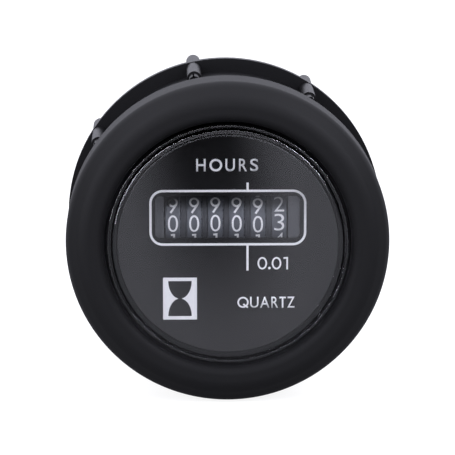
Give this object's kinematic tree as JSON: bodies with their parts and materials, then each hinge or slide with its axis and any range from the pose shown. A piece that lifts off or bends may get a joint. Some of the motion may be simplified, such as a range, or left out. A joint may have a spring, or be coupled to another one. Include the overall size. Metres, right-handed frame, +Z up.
{
  "type": "hour meter",
  "caption": "Round panel hour meter with a rubber bezel, clear lens, number-wheel counter, moulded barrel case, blade terminals and a push-on clamp ring.",
  "frame": {"origin": "on the barrel's axis, in the plane of the bezel's back face, which lies on the panel", "axes": "+Y along the barrel towards the terminals, +Z up on the dial, dial facing -Y"},
  "size_m": [0.0604, 0.0541, 0.0604],
  "materials": {
    "bezel_rubber": "matte, fine grain",
    "clear_lens": "clear, polished",
    "dial_black": "matte, printed",
    "case_black": "satin moulded",
    "ring_black": "satin moulded",
    "tinned_brass": "tinned",
    "chassis_grey": "satin moulded",
    "wheel_grey": "matte",
    "gear_white": "natural",
    "steel": "drawn",
    "magnet_dark": "plain",
    "lamination": "rolled",
    "bobbin_cream": "natural",
    "copper_wire": "enamelled",
    "board_green": "solder mask",
    "chip_black": "moulded",
    "capacitor_blue": "sleeved"
  },
  "bodies": {
    "meter": {"rubber_bezel": "bezel_rubber", "lens": "clear_lens", "dial_plate": "dial_black", "case": "case_black", "terminal_left": "tinned_brass", "terminal_right": "tinned_brass", "chassis": "chassis_grey", "wheel_shaft": "steel", "pinion_shaft": "steel", "gear_arbor": "steel", "gear_bridge": "chassis_grey", "stator": "lamination", "coil_core": "lamination", "coil_bobbin": "bobbin_cream", "coil_winding": "copper_wire", "circuit_board": "board_green", "quartz_crystal": "steel", "chip": "chip_black", "capacitor": "capacitor_blue", "diode": "chip_black", "chassis_screws": "steel", "stator_screws": "steel", "bridge_screws": "steel"},
    "clamp_ring": {"clamp_ring": "ring_black"},
    "hundredths_wheel": {"hundredths_wheel": "wheel_grey", "drive_gear": "gear_white"},
    "tenths_wheel": {"tenths_wheel": "wheel_grey"},
    "units_wheel": {"units_wheel": "wheel_grey"},
    "tens_wheel": {"tens_wheel": "wheel_grey"},
    "hundreds_wheel": {"hundreds_wheel": "wheel_grey"},
    "thousands_wheel": {"thousands_wheel": "wheel_grey"},
    "transfer_pinion_1": {"transfer_pinion_1": "gear_white"},
    "transfer_pinion_2": {"transfer_pinion_2": "gear_white"},
    "transfer_pinion_3": {"transfer_pinion_3": "gear_white"},
    "transfer_pinion_4": {"transfer_pinion_4": "gear_white"},
    "transfer_pinion_5": {"transfer_pinion_5": "gear_white"},
    "intermediate_gear": {"intermediate_gear": "gear_white"},
    "rotor": {"rotor_shaft": "steel", "rotor_magnet": "magnet_dark"}
  },
  "joints": [
    {"name": "clamp_ring_slide", "type": "slide", "parent": "meter", "child": "clamp_ring", "axis": [0, -1, 0], "range_m": [-0.036, 0.0042]},
    {"name": "hundredths_spin", "type": "hinge", "parent": "meter", "child": "hundredths_wheel", "pos_m": [0, 0.0002, 0.0029], "axis": [-1, 0, 0], "continuous": true},
    {"name": "tenths_spin", "type": "hinge", "parent": "meter", "child": "tenths_wheel", "pos_m": [0, 0.0002, 0.0029], "axis": [-1, 0, 0], "continuous": true},
    {"name": "units_spin", "type": "hinge", "parent": "meter", "child": "units_wheel", "pos_m": [0, 0.0002, 0.0029], "axis": [-1, 0, 0], "continuous": true},
    {"name": "tens_spin", "type": "hinge", "parent": "meter", "child": "tens_wheel", "pos_m": [0, 0.0002, 0.0029], "axis": [-1, 0, 0], "continuous": true},
    {"name": "hundreds_spin", "type": "hinge", "parent": "meter", "child": "hundreds_wheel", "pos_m": [0, 0.0002, 0.0029], "axis": [-1, 0, 0], "continuous": true},
    {"name": "thousands_spin", "type": "hinge", "parent": "meter", "child": "thousands_wheel", "pos_m": [0, 0.0002, 0.0029], "axis": [-1, 0, 0], "continuous": true},
    {"name": "transfer_pinion_1_spin", "type": "hinge", "parent": "meter", "child": "transfer_pinion_1", "pos_m": [0, 0.0002, -0.0041], "axis": [-1, 0, 0], "continuous": true},
    {"name": "transfer_pinion_2_spin", "type": "hinge", "parent": "meter", "child": "transfer_pinion_2", "pos_m": [0, 0.0002, -0.0041], "axis": [-1, 0, 0], "continuous": true},
    {"name": "transfer_pinion_3_spin", "type": "hinge", "parent": "meter", "child": "transfer_pinion_3", "pos_m": [0, 0.0002, -0.0041], "axis": [-1, 0, 0], "continuous": true},
    {"name": "transfer_pinion_4_spin", "type": "hinge", "parent": "meter", "child": "transfer_pinion_4", "pos_m": [0, 0.0002, -0.0041], "axis": [-1, 0, 0], "continuous": true},
    {"name": "transfer_pinion_5_spin", "type": "hinge", "parent": "meter", "child": "transfer_pinion_5", "pos_m": [0, 0.0002, -0.0041], "axis": [-1, 0, 0], "continuous": true},
    {"name": "intermediate_gear_spin", "type": "hinge", "parent": "meter", "child": "intermediate_gear", "pos_m": [0, 0.00584, 0.00085], "axis": [-1, 0, 0], "continuous": true},
    {"name": "rotor_spin", "type": "hinge", "parent": "meter", "child": "rotor", "pos_m": [0, 0.0111, -0.00107], "axis": [-1, 0, 0], "continuous": true}
  ],
  "couplings": [
    {"joint": "tenths_spin", "follows": "hundredths_spin", "ratio": 0.1},
    {"joint": "units_spin", "follows": "hundredths_spin", "ratio": 0.01},
    {"joint": "tens_spin", "follows": "hundredths_spin", "ratio": 0.001},
    {"joint": "hundreds_spin", "follows": "hundredths_spin", "ratio": 0.0001},
    {"joint": "thousands_spin", "follows": "hundredths_spin", "ratio": 0.00001},
    {"joint": "transfer_pinion_1_spin", "follows": "hundredths_spin", "ratio": -0.25},
    {"joint": "transfer_pinion_2_spin", "follows": "hundredths_spin", "ratio": -0.025},
    {"joint": "transfer_pinion_3_spin", "follows": "hundredths_spin", "ratio": -0.0025},
    {"joint": "transfer_pinion_4_spin", "follows": "hundredths_spin", "ratio": -0.00025},
    {"joint": "transfer_pinion_5_spin", "follows": "hundredths_spin", "ratio": -0.000025},
    {"joint": "intermediate_gear_spin", "follows": "hundredths_spin", "ratio": -5},
    {"joint": "rotor_spin", "follows": "hundredths_spin", "ratio": 30}
  ]
}
